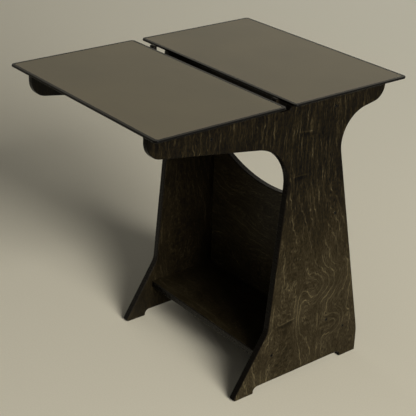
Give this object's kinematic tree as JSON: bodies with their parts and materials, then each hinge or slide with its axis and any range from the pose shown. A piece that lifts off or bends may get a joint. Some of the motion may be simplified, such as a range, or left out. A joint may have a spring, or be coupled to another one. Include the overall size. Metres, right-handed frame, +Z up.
{
  "type": "artist's palette table",
  "caption": "Dark-stained plywood standing table with sculpted side panels, a low shelf, a dipped back panel and glass palettes that lift off for cleaning.",
  "frame": {"origin": "on the floor, at the centre of the object's box seen from above, which is under the middle of the gap between the palettes", "axes": "+X to the right seen from the front, +Y from front to rear (the front is the side with the long arms and the open bay), +Z up"},
  "size_m": [0.578, 0.716, 0.76],
  "materials": {
    "stained_birch_plywood": "dark brown-black stain, satin clear coat",
    "palette_glass": "float glass, pencil-rounded rim",
    "palette_backing": "neutral grey, matte",
    "black_screw": "black oxide",
    "beech_dowel": "raw beech",
    "clear_pad": "clear soft pad"
  },
  "bodies": {
    "table_frame": {"left_side_panel": "stained_birch_plywood", "right_side_panel": "stained_birch_plywood", "back_panel": "stained_birch_plywood", "bottom_shelf": "stained_birch_plywood", "front_cross_rail": "stained_birch_plywood", "middle_cross_rail": "stained_birch_plywood", "rear_cross_rail": "stained_birch_plywood", "left_shelf_screws": "black_screw", "left_back_panel_screws": "black_screw", "left_front_rail_screws": "black_screw", "left_rear_rail_screws": "black_screw", "left_shelf_dowels": "beech_dowel", "left_back_panel_dowels": "beech_dowel", "left_middle_rail_dowels": "beech_dowel", "left_front_rest_pads": "clear_pad", "left_rear_rest_pads": "clear_pad", "right_shelf_screws": "black_screw", "right_back_panel_screws": "black_screw", "right_front_rail_screws": "black_screw", "right_rear_rail_screws": "black_screw", "right_shelf_dowels": "beech_dowel", "right_back_panel_dowels": "beech_dowel", "right_middle_rail_dowels": "beech_dowel", "right_front_rest_pads": "clear_pad", "right_rear_rest_pads": "clear_pad"},
    "front_palette": {"front_palette_glass": "palette_glass", "front_palette_backing": "palette_backing"},
    "rear_palette": {"rear_palette_glass": "palette_glass", "rear_palette_backing": "palette_backing"}
  },
  "joints": [
    {"name": "front_palette_lift", "type": "slide", "parent": "table_frame", "child": "front_palette", "axis": [0, 0, 1], "range_m": [0, 0.15]},
    {"name": "rear_palette_lift", "type": "slide", "parent": "table_frame", "child": "rear_palette", "axis": [0, 0, 1], "range_m": [0, 0.15]}
  ]
}
